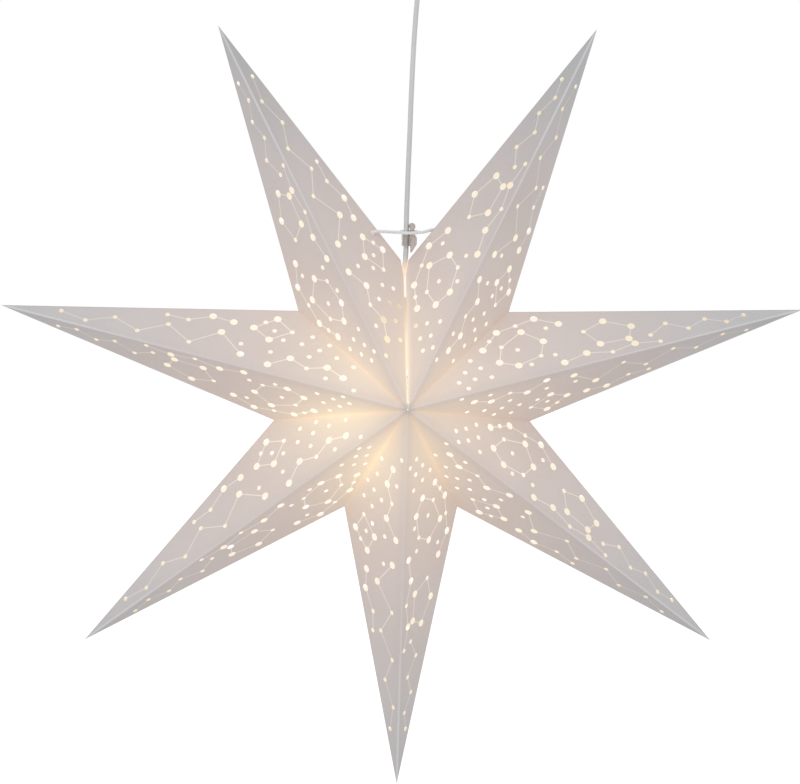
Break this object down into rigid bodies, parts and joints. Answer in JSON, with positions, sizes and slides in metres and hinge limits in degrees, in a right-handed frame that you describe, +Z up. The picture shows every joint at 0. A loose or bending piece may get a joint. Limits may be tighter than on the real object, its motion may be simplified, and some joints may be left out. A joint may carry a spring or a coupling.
{
  "type": "paper star lantern",
  "caption": "Hanging star lantern of folded, punched paper with hollow points round a lamp, on a cord with a ceiling fitting; the paper folds flat.",
  "frame": {"origin": "on the ceiling, at the middle of the ceiling plate, between its two screw holes", "axes": "+Z up, +X to the right seen from the front, -Y towards the viewer"},
  "size_m": [0.5902, 0.1463, 0.6935],
  "materials": {
    "paper": "matte",
    "string": "matte",
    "hook": "clear",
    "cord": "satin",
    "cores": "satin",
    "glass": "frosted",
    "steel": "satin",
    "insulator": "gloss",
    "filament": "lit",
    "holder": "satin",
    "brass": "satin",
    "ceramic": "matte",
    "plate": "satin",
    "terminal": "satin"
  },
  "bodies": {
    "fitting": {"ceiling_plate": "plate", "ceiling_cup": "holder", "cup_screws": "steel", "cord_grip": "holder", "grip_nut": "steel", "terminal_block": "terminal", "terminal_screws": "steel", "supply_cord": "cord", "supply_cores": "cores", "cord_hook": "hook", "tie_loop": "string", "holder_skirt": "holder", "holder_dome": "holder", "thread_sleeve": "brass", "contact_block": "ceramic", "centre_contact": "brass", "holder_screws": "steel", "cord_clamp": "holder"},
    "bulb": {"bulb_globe": "glass", "bulb_cap": "steel", "bulb_insulator": "insulator", "bulb_tip": "steel", "bulb_filaments": "filament"},
    "point_1_front_left": {"point_1_front_left": "paper"},
    "point_1_back_left": {"point_1_back_left": "paper", "tie_right": "string"},
    "point_1_front_right": {"point_1_front_right": "paper"},
    "point_1_back_right": {"point_1_back_right": "paper"},
    "point_2_front_left": {"point_2_front_left": "paper"},
    "point_2_back_left": {"point_2_back_left": "paper"},
    "point_2_front_right": {"point_2_front_right": "paper"},
    "point_2_back_right": {"point_2_back_right": "paper"},
    "point_3_front_left": {"point_3_front_left": "paper"},
    "point_3_back_left": {"point_3_back_left": "paper"},
    "point_3_front_right": {"point_3_front_right": "paper"},
    "point_3_back_right": {"point_3_back_right": "paper"},
    "point_4_front_left": {"point_4_front_left": "paper"},
    "point_4_back_left": {"point_4_back_left": "paper"},
    "point_4_front_right": {"point_4_front_right": "paper"},
    "point_4_back_right": {"point_4_back_right": "paper"},
    "point_5_front_left": {"point_5_front_left": "paper"},
    "point_5_back_left": {"point_5_back_left": "paper"},
    "point_5_front_right": {"point_5_front_right": "paper"},
    "point_5_back_right": {"point_5_back_right": "paper"},
    "point_6_front_left": {"point_6_front_left": "paper"},
    "point_6_back_left": {"point_6_back_left": "paper"},
    "point_6_front_right": {"point_6_front_right": "paper"},
    "point_6_back_right": {"point_6_back_right": "paper"},
    "point_7_front_left": {"point_7_front_left": "paper"},
    "point_7_back_left": {"point_7_back_left": "paper"},
    "point_7_front_right": {"point_7_front_right": "paper", "tie_left": "string"},
    "point_7_back_right": {"point_7_back_right": "paper"}
  },
  "joints": [
    {"name": "star_fold", "type": "hinge", "parent": "fitting", "child": "point_4_front_left", "pos_m": [-0.01, -0.075, -0.392], "axis": [0, -0.2376, 0.9714], "range_deg": [0, 35.95]},
    {"name": "point_4_twin", "type": "hinge", "parent": "fitting", "child": "point_4_front_right", "pos_m": [-0.01, -0.075, -0.392], "axis": [0, 0.2376, -0.9714], "range_deg": [0, 35.95]},
    {"name": "point_3_front_right_valley", "type": "hinge", "parent": "point_4_front_left", "child": "point_3_front_right", "pos_m": [-0.01, -0.075, -0.392], "axis": [0.3428, 0.6039, -0.7196], "range_deg": [0, 91.07]},
    {"name": "point_3_front_left_ridge", "type": "hinge", "parent": "point_3_front_right", "child": "point_3_front_left", "pos_m": [-0.01, -0.075, -0.392], "axis": [-0.7543, -0.2376, 0.612], "range_deg": [0, 71.89]},
    {"name": "point_2_front_right_valley", "type": "hinge", "parent": "point_3_front_left", "child": "point_2_front_right", "pos_m": [-0.01, -0.075, -0.392], "axis": [0.7748, 0.6039, -0.1872], "range_deg": [0, 91.07]},
    {"name": "point_2_front_left_ridge", "type": "hinge", "parent": "point_2_front_right", "child": "point_2_front_left", "pos_m": [-0.01, -0.075, -0.392], "axis": [-0.9505, -0.2376, -0.2001], "range_deg": [0, 71.89]},
    {"name": "point_1_front_right_valley", "type": "hinge", "parent": "point_2_front_left", "child": "point_1_front_right", "pos_m": [-0.01, -0.075, -0.392], "axis": [0.6336, 0.6039, 0.4837], "range_deg": [0, 91.07]},
    {"name": "point_1_front_left_ridge", "type": "hinge", "parent": "point_1_front_right", "child": "point_1_front_left", "pos_m": [-0.01, -0.075, -0.392], "axis": [-0.4436, -0.2376, -0.8642], "range_deg": [0, 71.89]},
    {"name": "point_5_front_left_valley", "type": "hinge", "parent": "point_4_front_right", "child": "point_5_front_left", "pos_m": [-0.01, -0.075, -0.392], "axis": [0.3428, -0.6039, 0.7196], "range_deg": [0, 91.07]},
    {"name": "point_5_front_right_ridge", "type": "hinge", "parent": "point_5_front_left", "child": "point_5_front_right", "pos_m": [-0.01, -0.075, -0.392], "axis": [-0.7543, 0.2376, -0.612], "range_deg": [0, 71.89]},
    {"name": "point_6_front_left_valley", "type": "hinge", "parent": "point_5_front_right", "child": "point_6_front_left", "pos_m": [-0.01, -0.075, -0.392], "axis": [0.7748, -0.6039, 0.1872], "range_deg": [0, 91.07]},
    {"name": "point_6_front_right_ridge", "type": "hinge", "parent": "point_6_front_left", "child": "point_6_front_right", "pos_m": [-0.01, -0.075, -0.392], "axis": [-0.9505, 0.2376, 0.2001], "range_deg": [0, 71.89]},
    {"name": "point_7_front_left_valley", "type": "hinge", "parent": "point_6_front_right", "child": "point_7_front_left", "pos_m": [-0.01, -0.075, -0.392], "axis": [0.6336, -0.6039, -0.4837], "range_deg": [0, 91.07]},
    {"name": "point_7_front_right_ridge", "type": "hinge", "parent": "point_7_front_left", "child": "point_7_front_right", "pos_m": [-0.01, -0.075, -0.392], "axis": [-0.4436, 0.2376, 0.8642], "range_deg": [0, 71.89]},
    {"name": "point_1_back_left_rim", "type": "hinge", "parent": "point_1_front_left", "child": "point_1_back_left", "pos_m": [-0.00706, 0, -0.29304], "axis": [0.6193, 0, 0.7852], "range_deg": [0, 69.54]},
    {"name": "point_1_back_right_rim", "type": "hinge", "parent": "point_1_front_right", "child": "point_1_back_right", "pos_m": [0.06869, 0, -0.33193], "axis": [-0.277, 0, -0.9609], "range_deg": [0, 69.54]},
    {"name": "point_2_back_left_rim", "type": "hinge", "parent": "point_2_front_left", "child": "point_2_back_left", "pos_m": [0.06869, 0, -0.33193], "axis": [0.9999, 0, 0.0139], "range_deg": [0, 69.54]},
    {"name": "point_2_back_right_rim", "type": "hinge", "parent": "point_2_front_right", "child": "point_2_back_right", "pos_m": [0.08623, 0, -0.41525], "axis": [-0.9207, 0, -0.3904], "range_deg": [0, 69.54]},
    {"name": "point_3_back_left_rim", "type": "hinge", "parent": "point_3_front_left", "child": "point_3_back_left", "pos_m": [0.08623, 0, -0.41525], "axis": [0.6408, 0, -0.7677], "range_deg": [0, 69.54]},
    {"name": "point_3_back_right_rim", "type": "hinge", "parent": "point_3_front_right", "child": "point_3_back_right", "pos_m": [0.03258, 0, -0.48138], "axis": [-0.8832, 0, 0.469], "range_deg": [0, 69.54]},
    {"name": "point_4_back_left_rim", "type": "hinge", "parent": "point_4_front_left", "child": "point_4_back_left", "pos_m": [0.03258, 0, -0.48138], "axis": [-0.1924, 0, -0.9813], "range_deg": [0, 69.54]},
    {"name": "point_4_back_right_rim", "type": "hinge", "parent": "point_4_front_right", "child": "point_4_back_right", "pos_m": [-0.05258, 0, -0.48138], "axis": [-0.1924, 0, 0.9813], "range_deg": [0, 69.54]},
    {"name": "point_5_back_left_rim", "type": "hinge", "parent": "point_5_front_left", "child": "point_5_back_left", "pos_m": [-0.05258, 0, -0.48138], "axis": [-0.8832, 0, -0.469], "range_deg": [0, 69.54]},
    {"name": "point_5_back_right_rim", "type": "hinge", "parent": "point_5_front_right", "child": "point_5_back_right", "pos_m": [-0.10623, 0, -0.41525], "axis": [0.6408, 0, 0.7677], "range_deg": [0, 69.54]},
    {"name": "point_6_back_left_rim", "type": "hinge", "parent": "point_6_front_left", "child": "point_6_back_left", "pos_m": [-0.10623, 0, -0.41525], "axis": [-0.9207, 0, 0.3904], "range_deg": [0, 69.54]},
    {"name": "point_6_back_right_rim", "type": "hinge", "parent": "point_6_front_right", "child": "point_6_back_right", "pos_m": [-0.08869, 0, -0.33193], "axis": [0.9999, 0, -0.0139], "range_deg": [0, 69.54]},
    {"name": "point_7_back_left_rim", "type": "hinge", "parent": "point_7_front_left", "child": "point_7_back_left", "pos_m": [-0.08869, 0, -0.33193], "axis": [-0.277, 0, 0.9609], "range_deg": [0, 69.54]},
    {"name": "point_7_back_right_rim", "type": "hinge", "parent": "point_7_front_right", "child": "point_7_back_right", "pos_m": [-0.01294, 0, -0.29304], "axis": [0.6193, 0, -0.7852], "range_deg": [0, 69.54]},
    {"name": "bulb_turn", "type": "hinge", "parent": "fitting", "child": "bulb", "pos_m": [-0.014, 0, -0.404], "axis": [0, 0, -1], "range_deg": [0, 1080]}
  ],
  "couplings": [
    {"joint": "point_4_twin", "follows": "star_fold", "ratio": 1},
    {"joint": "point_3_front_right_valley", "follows": "star_fold", "ratio": 2.5335},
    {"joint": "point_3_front_left_ridge", "follows": "star_fold", "ratio": 2},
    {"joint": "point_2_front_right_valley", "follows": "star_fold", "ratio": 2.5335},
    {"joint": "point_2_front_left_ridge", "follows": "star_fold", "ratio": 2},
    {"joint": "point_1_front_right_valley", "follows": "star_fold", "ratio": 2.5335},
    {"joint": "point_1_front_left_ridge", "follows": "star_fold", "ratio": 2},
    {"joint": "point_5_front_left_valley", "follows": "star_fold", "ratio": 2.5335},
    {"joint": "point_5_front_right_ridge", "follows": "star_fold", "ratio": 2},
    {"joint": "point_6_front_left_valley", "follows": "star_fold", "ratio": 2.5335},
    {"joint": "point_6_front_right_ridge", "follows": "star_fold", "ratio": 2},
    {"joint": "point_7_front_left_valley", "follows": "star_fold", "ratio": 2.5335},
    {"joint": "point_7_front_right_ridge", "follows": "star_fold", "ratio": 2},
    {"joint": "point_1_back_left_rim", "follows": "star_fold", "ratio": 1.9347},
    {"joint": "point_1_back_right_rim", "follows": "star_fold", "ratio": 1.9347},
    {"joint": "point_2_back_left_rim", "follows": "star_fold", "ratio": 1.9347},
    {"joint": "point_2_back_right_rim", "follows": "star_fold", "ratio": 1.9347},
    {"joint": "point_3_back_left_rim", "follows": "star_fold", "ratio": 1.9347},
    {"joint": "point_3_back_right_rim", "follows": "star_fold", "ratio": 1.9347},
    {"joint": "point_4_back_left_rim", "follows": "star_fold", "ratio": 1.9347},
    {"joint": "point_4_back_right_rim", "follows": "star_fold", "ratio": 1.9347},
    {"joint": "point_5_back_left_rim", "follows": "star_fold", "ratio": 1.9347},
    {"joint": "point_5_back_right_rim", "follows": "star_fold", "ratio": 1.9347},
    {"joint": "point_6_back_left_rim", "follows": "star_fold", "ratio": 1.9347},
    {"joint": "point_6_back_right_rim", "follows": "star_fold", "ratio": 1.9347},
    {"joint": "point_7_back_left_rim", "follows": "star_fold", "ratio": 1.9347},
    {"joint": "point_7_back_right_rim", "follows": "star_fold", "ratio": 1.9347}
  ]
}
